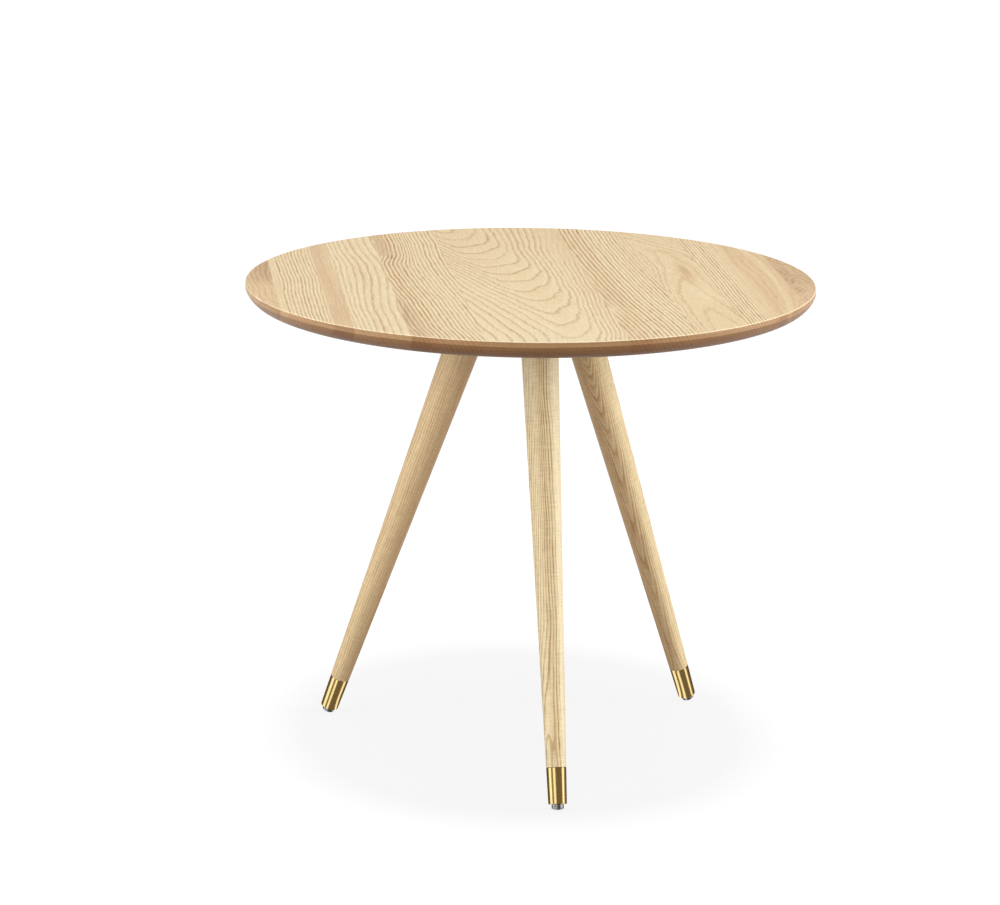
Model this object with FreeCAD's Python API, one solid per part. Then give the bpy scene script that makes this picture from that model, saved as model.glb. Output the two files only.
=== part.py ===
"""Low round tea table: a solid ash top on three splayed, tapered legs with brass feet.

Millimetres, +Z up. The origin is on the floor under the middle of the top. The front
leg stands towards -Y and the other two are a third of a turn to each side of it.
The boards of the top run roughly front to back.
"""
import FreeCAD, Part
import math
import os

# The whole table
table_height = 507.0
leg_names = ["front", "right", "left"]
front_leg_azimuth = -90.0

# The top: boards glued edge to edge, sawn round, with a wide bevel under its rim
top_diameter = 600.0
top_thickness = 20.0
top_edge_band = 5.7
top_under_bevel = 19.5
top_arris_chamfer = 0.6
board_turn = -1.66
board_width_shares = [0.049, 0.1135, 0.0895, 0.1173, 0.2368, 0.1172, 0.095, 0.065, 0.0658, 0.0509]

# The hub: one round block under the top that holds the three leg heads
hub_diameter = 200.0
hub_thickness = 34.0
hub_bevel = 9.0

# The legs: straight tapers, parallel only where they stand in the hub and the ferrule
leg_foot_spread = 235.0
leg_top_spread = 55.5
leg_head_diameter = 39.0
leg_foot_diameter = 18.8
leg_seat_depth = 20.0
leg_socket_clearance = 0.1
leg_head_chamfer = 1.5

# The bolt and the threaded insert that hold each leg in the hub
hanger_bolt_diameter = 8.0
hanger_bolt_in_leg = 38.0
hanger_bolt_tip = 6.0
hanger_bolt_end_gap = 1.0
hub_insert_diameter = 12.0
hub_insert_length = 15.0
thread_clearance = 0.05

# The countersunk screws between the hub and the top, in pairs between the legs
hub_screw_diameter = 5.0
hub_screw_length = 44.0
hub_screw_tip = 5.0
hub_screw_head_diameter = 10.0
hub_screw_head_rim = 0.6
hub_screw_recess = 4.0
hub_screw_recess_clearance = 0.3
hub_screw_shank_clearance = 0.2
inner_screw_circle = 64.0
hub_screw_edge_distance = 18.0

# The brass ferrule that caps each foot, flush with the wood above it
ferrule_top = 44.5
ferrule_bottom = 7.0
ferrule_bore_diameter = 16.6
ferrule_floor = 1.2
ferrule_seam_chamfer = 0.3
ferrule_lower_chamfer = 0.6
ferrule_fit_clearance = 0.05
spigot_end_gap = 0.3

# The levelling glide in each foot and the threaded insert that it turns in
glide_head_diameter = 12.6
glide_dome_radius = 14.0
glide_edge_chamfer = 0.8
glide_head_gap = 0.3
glide_stud_diameter = 6.0
glide_stud_length = 26.0
glide_stud_chamfer = 0.6
glide_stud_clearance = 0.1
glide_bore_clearance = 0.5
glide_travel = 8.0
foot_insert_diameter = 10.0
foot_insert_length = 14.0

# Places that follow from the sizes above
up = FreeCAD.Vector(0, 0, 1)
origin = FreeCAD.Vector(0, 0, 0)
third_turn = 360.0 / len(leg_names)
top_radius = top_diameter / 2
underside = table_height - top_thickness
hub_underside = underside - hub_thickness
splay = math.atan((leg_foot_spread - leg_top_spread) / underside)
axis_at_underside = underside / math.cos(splay)
axis_at_hub = hub_underside / math.cos(splay)
leg_end = axis_at_underside - leg_seat_depth
head_radius = leg_head_diameter / 2
head_start = axis_at_hub - head_radius * math.tan(splay)
glide_dome_centre = glide_dome_radius / math.cos(splay)
glide_head_top = ferrule_bottom - glide_head_gap
stud_top = glide_head_top + glide_stud_length
spigot_end = ferrule_bottom + ferrule_floor + spigot_end_gap
stud_bore_end = stud_top + glide_bore_clearance
bolt_top = leg_end + hub_insert_length - hanger_bolt_end_gap
bolt_bottom = leg_end - hanger_bolt_in_leg
screw_head_level = hub_underside + hub_screw_recess
screw_head_depth = (hub_screw_head_diameter - hub_screw_diameter) / 2


def taper_radius(along):
    """Radius of a leg's outside at a distance along its axis, measured from the floor."""
    foot_radius = leg_foot_diameter / 2
    return foot_radius + (head_radius - foot_radius) * along / head_start


def turned(outline):
    """Solid turned about +Z from a closed outline of (radius, height) points."""
    points = [FreeCAD.Vector(radius, 0, height) for radius, height in outline]
    wire = Part.makePolygon(points + points[:1])
    return Part.Face(wire).revolve(origin, up, 360.0)


def rod(radius, low, high):
    """Upright cylinder about +Z between two heights."""
    return Part.makeCylinder(radius, high - low, FreeCAD.Vector(0, 0, low))


def on_leg(solid, azimuth):
    """Places a solid made about +Z on a leg's axis, which meets the floor at its foot."""
    lean = FreeCAD.Rotation(FreeCAD.Vector(0, 1, 0), -math.degrees(splay))
    turn = FreeCAD.Rotation(up, azimuth)
    foot = turn.multVec(FreeCAD.Vector(leg_foot_spread, 0, 0))
    placed = solid.copy()
    placed.Placement = FreeCAD.Placement(foot, turn.multiply(lean))
    return placed


def leg_azimuths():
    """Direction of each leg by name."""
    return {name: front_leg_azimuth + place * third_turn for place, name in enumerate(leg_names)}


def screw_places():
    """Middle of each hub screw: a pair on one line between each two legs."""
    inner = inner_screw_circle / 2
    outer = hub_diameter / 2 - hub_screw_edge_distance
    places = []
    for azimuth in leg_azimuths().values():
        turn = FreeCAD.Rotation(up, azimuth + third_turn / 2)
        places += [turn.multVec(FreeCAD.Vector(reach, 0, 0)) for reach in (inner, outer)]
    return places


def screw_shape(shank_gap, head_gap, mouth):
    """A hub screw, point upwards, or with gaps and a mouth the hole that it goes in."""
    shank = hub_screw_diameter / 2 + shank_gap
    head = hub_screw_head_diameter / 2 + head_gap
    bottom = screw_head_level - mouth
    rim = screw_head_level + hub_screw_head_rim
    neck = rim + screw_head_depth
    point = screw_head_level + hub_screw_length
    shoulder = point - hub_screw_tip
    outline = [(0, bottom), (head, bottom), (head, rim), (shank, neck)]
    return turned(outline + [(shank, shoulder), (0, point)])


def top_disc():
    """The whole top before it is told apart into boards."""
    outline = [
        (0, underside),
        (top_radius - top_under_bevel, underside),
        (top_radius, table_height - top_edge_band),
        (top_radius, table_height - top_arris_chamfer),
        (top_radius - top_arris_chamfer, table_height),
        (0, table_height),
    ]
    return turned(outline)


def make_top_boards():
    """The boards of the top, from left to right, with the pilot holes of the screws."""
    disc = top_disc()
    for place in screw_places():
        pilot = screw_shape(thread_clearance, 0, 0)
        pilot.translate(place)
        disc = disc.cut(pilot)
    boards = {}
    left = -top_radius
    for number, share in enumerate(board_width_shares, start=1):
        width = top_diameter * share / sum(board_width_shares)
        corner = FreeCAD.Vector(left, -top_radius, underside)
        slab = Part.makeBox(width, top_diameter, top_thickness, corner)
        slab.rotate(origin, up, board_turn)
        boards[f"top_board_{number:02d}"] = disc.common(slab)
        left += width
    return boards


def make_hub():
    """The block under the top, with its leg sockets, insert bores and screw holes."""
    radius = hub_diameter / 2
    outline = [
        (0, hub_underside),
        (radius - hub_bevel, hub_underside),
        (radius, hub_underside + hub_bevel),
        (radius, underside),
        (0, underside),
    ]
    hub = turned(outline)
    socket = rod(head_radius + leg_socket_clearance, head_start - hub_thickness, leg_end)
    insert_bore = rod(hub_insert_diameter / 2, leg_end, leg_end + hub_insert_length)
    for azimuth in leg_azimuths().values():
        hub = hub.cut(on_leg(socket.fuse(insert_bore), azimuth))
    hole = screw_shape(hub_screw_shank_clearance, hub_screw_recess_clearance, hub_screw_recess)
    for place in screw_places():
        placed = hole.copy()
        placed.translate(place)
        hub = hub.cut(placed)
    return hub


def make_hub_screws():
    """All the screws that hold the hub to the top."""
    screws = []
    for place in screw_places():
        screw = screw_shape(0, 0, 0)
        screw.translate(place)
        screws.append(screw)
    return Part.makeCompound(screws)


def bolt_shape(gap):
    """A hanger bolt, or with a gap the bore that it goes in."""
    radius = hanger_bolt_diameter / 2 + gap
    shoulder = bolt_bottom + hanger_bolt_tip
    return turned([(0, bolt_bottom), (radius, shoulder), (radius, bolt_top), (0, bolt_top)])


def make_leg():
    """One leg, from the spigot inside its ferrule to the head inside the hub."""
    spigot = ferrule_bore_diameter / 2 - ferrule_fit_clearance
    seam = taper_radius(ferrule_top)
    outline = [
        (0, spigot_end),
        (spigot - ferrule_seam_chamfer, spigot_end),
        (spigot, spigot_end + ferrule_seam_chamfer),
        (spigot, ferrule_top),
        (seam - ferrule_seam_chamfer, ferrule_top),
        (taper_radius(ferrule_top + ferrule_seam_chamfer), ferrule_top + ferrule_seam_chamfer),
        (head_radius, head_start),
        (head_radius, leg_end - leg_head_chamfer),
        (head_radius - leg_head_chamfer, leg_end),
        (0, leg_end),
    ]
    leg = turned(outline).cut(bolt_shape(thread_clearance))
    insert_end = spigot_end + foot_insert_length
    leg = leg.cut(rod(foot_insert_diameter / 2, spigot_end, insert_end))
    return leg.cut(rod(glide_stud_diameter / 2 + glide_bore_clearance, insert_end, stud_bore_end))


def make_hub_insert():
    """The threaded sleeve in the hub that a hanger bolt screws into."""
    sleeve = rod(hub_insert_diameter / 2, leg_end, leg_end + hub_insert_length)
    bore = rod(hanger_bolt_diameter / 2 + thread_clearance, leg_end, leg_end + hub_insert_length)
    return sleeve.cut(bore)


def make_ferrule():
    """The tapered brass cup on a foot, with a hole in its floor for the glide's stud."""
    seam = taper_radius(ferrule_top)
    chamfer_top = ferrule_bottom + ferrule_lower_chamfer
    outline = [
        (0, ferrule_bottom),
        (taper_radius(ferrule_bottom) - ferrule_lower_chamfer, ferrule_bottom),
        (taper_radius(chamfer_top), chamfer_top),
        (taper_radius(ferrule_top - ferrule_seam_chamfer), ferrule_top - ferrule_seam_chamfer),
        (seam - ferrule_seam_chamfer, ferrule_top),
        (0, ferrule_top),
    ]
    cup = turned(outline).cut(rod(ferrule_bore_diameter / 2, ferrule_bottom + ferrule_floor, ferrule_top))
    return cup.cut(rod(glide_stud_diameter / 2 + glide_bore_clearance, ferrule_bottom, spigot_end))


def make_foot_insert():
    """The threaded sleeve in the end of a leg that the glide's stud runs in."""
    insert_end = spigot_end + foot_insert_length
    sleeve = rod(foot_insert_diameter / 2, spigot_end, insert_end)
    return sleeve.cut(rod(glide_stud_diameter / 2 + glide_stud_clearance, spigot_end, insert_end))


def dome_point(radius):
    """Point of a glide's domed face at a distance from its axis."""
    return FreeCAD.Vector(radius, 0, glide_dome_centre - math.sqrt(glide_dome_radius ** 2 - radius ** 2))


def make_glide():
    """The levelling foot, turned in one piece: a domed head that meets the floor, and its stud."""
    head_side = glide_head_diameter / 2
    dome_side = head_side - glide_edge_chamfer
    stud_radius = glide_stud_diameter / 2
    dome = Part.Arc(dome_point(0), dome_point(dome_side / 2), dome_point(dome_side)).toShape()
    outline = [
        (dome_side, dome_point(dome_side).z),
        (head_side, dome_point(dome_side).z + glide_edge_chamfer),
        (head_side, glide_head_top),
        (stud_radius, glide_head_top),
        (stud_radius, stud_top - glide_stud_chamfer),
        (stud_radius - glide_stud_chamfer, stud_top),
        (0, stud_top),
        (0, dome_point(0).z),
    ]
    side = Part.makePolygon([FreeCAD.Vector(radius, 0, height) for radius, height in outline])
    return Part.Face(Part.Wire([dome] + side.Edges)).revolve(origin, up, 360.0)


def make_table():
    """Every piece of the table by name."""
    pieces = make_top_boards()
    pieces["hub"] = make_hub()
    pieces["hub_screws"] = make_hub_screws()
    leg_pieces = {
        "leg": make_leg(),
        "hanger_bolt": bolt_shape(0),
        "hub_insert": make_hub_insert(),
        "ferrule": make_ferrule(),
        "foot_insert": make_foot_insert(),
        "glide": make_glide(),
    }
    for leg_name, azimuth in leg_azimuths().items():
        for piece_name, solid in leg_pieces.items():
            pieces[f"{leg_name}_{piece_name}"] = on_leg(solid, azimuth)
    return pieces


def main():
    os.makedirs("parts", exist_ok=True)
    pieces = make_table()
    for name, shape in pieces.items():
        shape.exportStep(f"parts/{name}.step")
    engaged = foot_insert_length - max(0, glide_travel - (stud_top - spigot_end - foot_insert_length))
    print(f"{len(pieces)} pieces; splay {math.degrees(splay):.2f} degrees")
    print(f"leg axis {axis_at_underside:.1f} long; stud engaged {engaged:.1f} at full travel")


main()
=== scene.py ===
# %% [markdown]
# A low round tea table in pale ash: a top of ten glued boards, three turned legs that lean
# out from a block under it, and on each foot a brass ferrule over a small steel glide. The
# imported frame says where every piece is, so this lesson loads it first and then makes the
# surfaces: wood with growth rings, turned metal, and a plain pale studio.

# %% Load the frame
import math

import bmesh
import bpy
import numpy as np
from mathutils import Matrix, Vector


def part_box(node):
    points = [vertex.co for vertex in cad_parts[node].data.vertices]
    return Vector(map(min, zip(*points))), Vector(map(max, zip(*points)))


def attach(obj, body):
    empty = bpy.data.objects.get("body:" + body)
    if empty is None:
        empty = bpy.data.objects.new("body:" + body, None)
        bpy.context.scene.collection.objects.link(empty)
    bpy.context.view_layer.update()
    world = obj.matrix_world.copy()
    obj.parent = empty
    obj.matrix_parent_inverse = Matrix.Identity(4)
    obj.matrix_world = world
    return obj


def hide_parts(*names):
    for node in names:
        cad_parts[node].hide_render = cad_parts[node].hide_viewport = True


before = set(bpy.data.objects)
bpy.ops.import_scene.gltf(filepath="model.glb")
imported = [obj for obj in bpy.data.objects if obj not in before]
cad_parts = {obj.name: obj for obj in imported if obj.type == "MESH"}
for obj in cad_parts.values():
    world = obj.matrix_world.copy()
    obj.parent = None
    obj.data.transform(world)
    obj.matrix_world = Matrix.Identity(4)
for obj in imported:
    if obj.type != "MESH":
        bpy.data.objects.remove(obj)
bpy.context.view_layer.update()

# %% [markdown]
# The camera is found from the table's outline in the photograph: a pinhole at about chest
# height, four metres away and a little to the left of the front leg. Its long lens keeps
# the ellipse of the top nearly symmetrical, and a small roll tilts it as in the picture.

# %% Camera
camera_place = Vector((-0.58301, -3.82475, 1.29438))
camera_heading = math.radians(8.221)
camera_pitch = math.radians(-14.136)
camera_roll = math.radians(0.668)
camera_lens = 134.775


def add(name, data):
    """New object in the scene with this mesh, lamp or camera in it."""
    made = bpy.data.objects.new(name, data)
    bpy.context.scene.collection.objects.link(made)
    return made


def camera_turn(heading, pitch, roll):
    """Turn of a camera that looks straight down at first: a roll to the left, then up until
    it has its pitch above level, then round to its heading right of +Y."""
    lift = Matrix.Rotation(math.pi / 2 + pitch, 4, "X")
    return Matrix.Rotation(-heading, 4, "Z") @ lift @ Matrix.Rotation(roll, 4, "Z")


camera_data = bpy.data.cameras.new("camera")
camera_data.lens = camera_lens
turn = camera_turn(camera_heading, camera_pitch, camera_roll)
camera = add("camera", camera_data)
camera.matrix_world = Matrix.Translation(camera_place) @ turn
bpy.context.scene.camera = camera
print("Camera at", tuple(camera.location), "with a", camera_lens, "mm lens")

# %% [markdown]
# Each new piece is a grid of points worked out as whole arrays, and these helpers turn it
# into a mesh. Where a grid shrinks to a point, as at the pole of a turned piece, its points
# are merged, so every piece is one closed skin. Edges sharper than a set angle stay crisp.

# %% From grids of points to pieces
merge_distance = 2e-6
crisp_angle = math.radians(18)


def grid_faces(rows, columns, closed_rows=False, closed_columns=False):
    """Four-sided faces between neighbouring points of a grid of rows and columns. A closed
    direction also joins its last line of points to its first."""
    row = np.arange(rows if closed_rows else rows - 1)[:, None] * columns
    column = np.arange(columns if closed_columns else columns - 1)
    next_row = (row + columns) % (rows * columns)
    next_column = (column + 1) % columns
    corners = [row + column, row + next_column, next_row + next_column, next_row + column]
    return np.stack(corners, axis=-1).reshape(-1, 4)


def make_piece(name, points, faces, grain=None):
    """Mesh object from points and faces. The grain, if given, holds four numbers at each
    point: the number of the growth ring, the wood's tone, how strong its lines are, and how
    fine they are for the distance between rings."""
    mesh = bpy.data.meshes.new(name)
    mesh.from_pydata(points.reshape(-1, 3), [], faces.tolist())
    if grain is not None:
        flat = grain.astype(np.float32).reshape(-1, 4)
        layer = mesh.attributes.new("grain", "FLOAT_VECTOR", "POINT")
        layer.data.foreach_set("vector", flat[:, :3].ravel())
        layer = mesh.attributes.new("fineness", "FLOAT", "POINT")
        layer.data.foreach_set("value", flat[:, 3].ravel())
    skin = bmesh.new()
    skin.from_mesh(mesh)
    bmesh.ops.remove_doubles(skin, verts=skin.verts, dist=merge_distance)
    bmesh.ops.recalc_face_normals(skin, faces=skin.faces)
    volume = skin.calc_volume(signed=True)
    skin.to_mesh(mesh)
    skin.free()
    mesh.polygons.foreach_set("use_smooth", np.ones(len(mesh.polygons), dtype=bool))
    mesh.set_sharp_from_angle(angle=crisp_angle)
    print(f"{name}: {len(mesh.polygons)} faces, {volume * 1e6:.1f} cubic centimetres")
    return add(name, mesh)


def dress(piece, body, slot, material, *nodes):
    """Gives a piece its material and the body it rides on, and hides the nodes it replaces. The
    slot is not used.
    """
    piece.data.materials.append(material)
    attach(piece, body)
    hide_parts(*nodes)


# %% [markdown]
# Shader maths is easier to read as sums and products than as boxes and wires. A Wire holds
# one output socket, and arithmetic on wires adds Math nodes. A Finish holds the nodes of one
# material, or of the world, and adds a node by one method: its kind, what its sockets get,
# the output to use, and its settings by name.

# %% Wires and finishes
class Wire:
    """One output socket of a material's nodes; arithmetic on it adds Math nodes."""

    def __init__(self, finish, socket):
        self.finish = finish
        self.socket = socket

    def math(self, operation, *others):
        values = dict(enumerate((self,) + others))
        return self.finish.node("Math", values, operation=operation)

    def __add__(self, other):
        return self.math("ADD", other)

    def __mul__(self, other):
        return self.math("MULTIPLY", other)

    def __sub__(self, other):
        return self.math("SUBTRACT", other)

    __radd__ = __add__
    __rmul__ = __mul__

    def ramp(self, *stops):
        """The wire's value carried through a ramp of (place, level) stops."""
        made = self.finish.node("ValToRGB", {"Fac": self})
        elements = made.socket.node.color_ramp.elements
        while len(elements) < len(stops):
            elements.new(1)
        for element, (place, level) in zip(elements, stops):
            element.position = place
            element.color = (level, level, level, 1)
        return made


class Finish:
    """The nodes of a material round its Principled shader, or of a world."""

    def __init__(self, name, kind="materials", shader="Principled BSDF"):
        self.block = getattr(bpy.data, kind).new(name)
        self.block.use_nodes = True
        self.nodes = self.block.node_tree.nodes
        self.shader = self.nodes[shader]

    def connect(self, socket, value):
        if isinstance(value, Wire):
            self.block.node_tree.links.new(value.socket, socket)
        else:
            socket.default_value = value

    def node(self, kind, inputs, output=0, **settings):
        """Adds a node: its settings are set first, then its inputs by name or number."""
        made = self.nodes.new("ShaderNode" + kind)
        for setting, value in settings.items():
            setattr(made, setting, value)
        for socket, value in inputs.items():
            self.connect(made.inputs[socket], value)
        return Wire(self, made.outputs[output])

    def mix(self, share, first, second, blend="MIX"):
        """Colour mixed from the first to the second, or to their product, by a share. The
        node's colours are its inputs 6 and 7 and its output 2."""
        inputs = {0: share, 6: first, 7: second}
        return self.node("Mix", inputs, 2, data_type="RGBA", blend_type=blend)

    def blend(self, share, first, second):
        """Shader mixed from the first to the second by a share."""
        return self.node("MixShader", {0: share, 1: first, 2: second})

    def distance(self, point, centre, stretch):
        """Length of the way from a centre to a point, each axis times its own stretch."""
        way = self.node("VectorMath", {0: point, 1: centre}, operation="SUBTRACT")
        way = self.node("VectorMath", {0: way, 1: stretch}, operation="MULTIPLY")
        return self.node("VectorMath", {0: way}, "Value", operation="LENGTH")

    def part(self, vector, axis):
        """One of the three numbers of a vector, by its letter."""
        return self.node("SeparateXYZ", {0: vector}, axis)

    def place(self, kind="Object"):
        """The point's own coordinates, or another output of that node, such as Normal."""
        return self.node("TexCoord", {}, kind)

    def noise(self, vector, scale, detail=2, rough=0.5):
        inputs = {"Vector": vector, "Scale": scale, "Detail": detail, "Roughness": rough}
        return self.node("TexNoise", inputs)

    def set(self, **inputs):
        """Sets the shader's own sockets; an underscore in a name stands for a space."""
        for name, value in inputs.items():
            self.connect(self.shader.inputs[name.replace("_", " ")], value)
        return self.block

    def show(self, shader):
        """Gives the surface another shader in place of the Principled one."""
        self.connect(self.nodes["Material Output"].inputs["Surface"], shader)
        return self.block


def colour(red, green, blue):
    """A colour as a screen shows it, 0 to 255, turned into the linear one that shaders use."""
    levels = np.array([red, green, blue]) / 255
    linear = np.where(levels > 0.04045, ((levels + 0.055) / 1.055) ** 2.4, levels / 12.92)
    return (*linear.tolist(), 1)


# %% [markdown]
# Ash is ring-porous: each spring the tree lays down a band of wide pores that shows as a
# darker, dashed line, and the rest of the year's wood is smooth and pale. So the material
# is driven by one number, the count of rings from the pith. Its fraction says how far into
# the year a point is, and a ramp makes the line from that. Noise stretched along the grain
# breaks the line into pores and adds fibres. Faces sawn across the grain are darker, faces
# that look down get painted shade, and the thin rounded edge of the top a painted highlight.

# %% Colours and noises of ash
ash_cream = colour(243, 220, 177)
ash_tan = colour(234, 203, 160)
ash_brown = colour(206, 171, 132)
ash_pale = colour(252, 235, 200)
line_shade = colour(200, 180, 156)
end_shade = colour(190, 162, 140)
# Colour of the painted shade on faces that look down.
painted_shade_below = colour(190, 165, 145)
ash_noises = {
    "cloud": ((14, 4, 14), 3, 0.5),
    "ripple": ((190, 18, 190), 2, 0.5),
    "fibre": ((900, 28, 900), 3, 0.6),
    "pores": ((1500, 90, 1500), 2, 0.5),
    "fleck": ((90, 620, 90), 2, 0.5),
    "speck": ((480, 55, 480), 2, 0.5),
    "streak": ((330, 8, 330), 3, 0.5),
    "layer": ((16, 16, 900), 3, 0.5),
    "fade": ((240, 34, 240), 2, 0.5),
}

# %% Lines of the years
ring_line = ((0, 0), (0.07, 1), (0.28, 0.8), (0.45, 0.15), (0.65, 0), (1, 0))
ring_ridge = ((0.45, 0), (0.75, 1), (0.92, 1), (1, 0))
pore_edge = ((0.5, 0), (0.66, 1))
fade_levels = ((0.3, 0.5), (0.62, 1))


def swing(noise, **shares):
    """Sum of noises, each as far as it is from its middle level and times its share."""
    return sum((noise[kind] - 0.5) * share for kind, share in shares.items())


def stored_rings(wood, local):
    """The four numbers that a piece carries at its points."""
    grain = wood.node("Attribute", {}, "Vector", attribute_name="grain")
    fineness = wood.node("Attribute", {}, "Fac", attribute_name="fineness")
    return [wood.part(grain, axis) for axis in "XYZ"] + [fineness]


def year_lines(wood, noise, ring, strength, fineness):
    """The dark line that starts each year, the pores in it, and the pale ridge before the
    next. The rings wander a little, some years are stronger, and lines fade in and out."""
    wander = swing(noise, ripple=0.45).math("DIVIDE", fineness)
    wander = wander + swing(noise, fibre=0.45, speck=0.2)
    count = ring + wander.math("DIVIDE", fineness)
    each_year = wood.node("TexWhiteNoise", {"W": count.math("FLOOR")}, noise_dimensions="1D")
    year_part = count.math("FRACT")
    line = (year_part * fineness).ramp(*ring_line) * strength * (each_year * 0.5 + 0.5)
    line = line * noise["fade"].ramp(*fade_levels)
    ridge = (year_part.ramp(*ring_ridge) * strength).math("DIVIDE", fineness)
    return line, noise["pores"].ramp(*pore_edge) * line, ridge


# %% Faces by the way they look
sawn_levels = ((0.05, 0), (0.6, 0.8), (1, 1))
upright_levels = ((0.1, 1), (0.5, 0))
# Levels of the painted shade on faces that look down.
painted_shade_levels = ((0.2, 0), (0.34, 0.45), (0.8, 0.95))
# Levels of the painted highlight on rounded edges that slope up.
painted_highlight_levels = ((0.35, 0), (0.55, 0.7), (0.9, 0.7), (0.99, 0))
least_level_part = 0.002


def faces_of(wood, turn):
    """Three shares: how squarely a standing face was sawn across the grain, how far a face
    looks down, for painted shade, and whether it slopes up as a rounded edge does, for a
    painted highlight. The first is the part of its normal along the grain over the length
    of the normal's level part."""
    facing = wood.place("Normal")
    turned = wood.node("Mapping", {0: facing, "Rotation": turn}, vector_type="TEXTURE")
    along = wood.part(turned, "Y")
    above = wood.part(facing, "Z")
    level_part = (above * above * -1.0 + 1.0).math("MAXIMUM", least_level_part).math("SQRT")
    sawn = along.math("ABSOLUTE").math("DIVIDE", level_part)
    end = sawn.ramp(*sawn_levels) * above.ramp(*upright_levels)
    return end, (above * -1.0).ramp(*painted_shade_levels), above.ramp(*painted_highlight_levels)


# %% Ash
ridge_share = 0.45
line_share = 0.85
pore_share = 0.35


def ash(name, place, turn, rings=stored_rings, tint=(1, 1, 1, 1), curl=0.14):
    """Ash whose grain runs along the local Y of a frame with this place and turn. The rings
    come from the piece or from a function. The curl is how strong the cross ripples are that
    light and dark bands of curly fibres make."""
    wood = Finish(name)
    own_frame = {"Vector": wood.place(), "Location": place, "Rotation": turn}
    local = wood.node("Mapping", own_frame, vector_type="TEXTURE")
    noise = {}
    for kind, (scale, detail, rough) in ash_noises.items():
        stretched = wood.node("Mapping", {"Vector": local, "Scale": scale})
        noise[kind] = wood.noise(stretched, 1, detail, rough)
    ring, tone, strength, fineness = rings(wood, local)
    line, pore, ridge = year_lines(wood, noise, ring, strength, fineness)
    end, below, rounded = faces_of(wood, turn)
    shade = tone + swing(noise, cloud=0.8, streak=0.9)
    light = wood.mix(shade * -1.0, wood.mix(shade, ash_cream, ash_tan), ash_pale)
    plain = wood.mix(shade - 1.0, light, ash_brown)
    ridged = wood.mix(ridge * ridge_share, plain, ash_pale)
    dark = (line * line_share + pore * pore_share).math("MINIMUM", 1)
    lined = wood.mix(dark, ridged, wood.mix(1, plain, line_shade, "MULTIPLY"))
    ended = wood.mix(end, lined, end_shade, "MULTIPLY")
    # Painted shade: faces that look down, as the bevel and the underside of the top do, are
    # darkened.
    shaded = wood.mix(below, ended, painted_shade_below, "MULTIPLY")
    # Painted highlight: rounded edges that slope up, as the arris of the top, are made paler.
    tinted = wood.mix(1, wood.mix(rounded, shaded, ash_pale), tint, "MULTIPLY")
    level = swing(noise, fibre=0.36, speck=0.28, fleck=curl) + swing(noise, layer=0.5) * end + 1
    streaked = wood.mix(1, tinted, level, "MULTIPLY")
    bumps = {"Strength": 0.25, "Distance": 0.0002, "Height": noise["fibre"] * 0.4 - pore}
    relief = wood.node("Bump", bumps)
    gloss = line * 0.16 + 0.42
    return wood.set(Base_Color=streaked, Roughness=gloss, Normal=relief, Specular_IOR_Level=0.22)


# %% [markdown]
# The top is one disc of ten boards. A router gives it a short upright band and a wide,
# softly rounded bevel under it, so it looks thin. Each board is worked out by itself as a fan
# of columns that run front to back. A column is a closed line: up the front rim, across the
# top, down the back rim and back under. Its length follows from the circle, y = the root of
# radius squared less x squared, so the rims of neighbouring boards meet exactly.

# %% Sizes of the top
top_nodes = sorted(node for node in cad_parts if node.startswith("top_board"))
top_boxes = [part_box(node) for node in top_nodes]
sides = [-min(low.x for low, high in top_boxes), max(high.x for low, high in top_boxes)]
top_radius = min(sides)
table_height = max(high.z for low, high in top_boxes)
underside = min(low.z for low, high in top_boxes)
edge_band = 0.0057
under_bevel = 0.0195
arris = 0.0011
holding_line = 0.0005
board_turn = math.radians(-1.66)
widths = np.array([0.049, 0.1135, 0.0895, 0.1173, 0.2368, 0.1172, 0.095, 0.065, 0.0658, 0.0509])
seams = top_radius * (2 * np.concatenate([[0], np.cumsum(widths)]) / widths.sum() - 1)
print(f"Top: {len(top_nodes)} boards, radius {top_radius:.5f}, height {table_height:.4f}")

# %% Rim of the top
bevel_rows = 14
bevel_bulge = 0.0035
band_rows = 3
arris_rows = 7


def bevel_arc():
    """Radius and height along the bevel, a flat arc that bulges outward between its two
    edges. The radius of its circle is the squares of half the chord and of the bulge, added
    and divided by twice the bulge."""
    rise = table_height - edge_band - underside
    half_chord = math.hypot(under_bevel, rise) / 2
    arc_radius = (half_chord ** 2 + bevel_bulge ** 2) / (2 * bevel_bulge)
    half_angle = math.asin(half_chord / arc_radius)
    slope = math.atan2(rise, under_bevel) + np.linspace(-half_angle, half_angle, bevel_rows)
    radius = top_radius - under_bevel + arc_radius * (np.sin(slope) - np.sin(slope[0]))
    height = underside + arc_radius * (np.cos(slope[0]) - np.cos(slope))
    return np.minimum(radius, top_radius), height


def rim_outline():
    """Radius and height of the rim: out along the bevel, up the band and round the arris,
    with a line just inside each flat face that keeps its shading flat."""
    bevel_radius, bevel_height = bevel_arc()
    turn = np.linspace(0, math.pi / 2, arris_rows)
    radius = np.concatenate([
        [top_radius - under_bevel - holding_line],
        bevel_radius,
        np.full(band_rows, top_radius),
        top_radius - arris * (1 - np.cos(turn)),
        [top_radius - arris - holding_line],
    ])
    height = np.concatenate([
        [underside],
        bevel_height,
        np.linspace(table_height - edge_band, table_height - arris, band_rows + 2)[1:-1],
        table_height - arris * (1 - np.sin(turn)),
        [table_height],
    ])
    return radius, height


rim_radius, rim_height = rim_outline()
rim_middle = 1 + bevel_rows + band_rows // 2
print(f"Rim: {len(rim_radius)} points from {rim_radius[0]:.4f} to {rim_radius.max():.4f}")

# %% A board as a fan of columns
column_angle = math.radians(0.5)
row_step = 0.003


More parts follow.
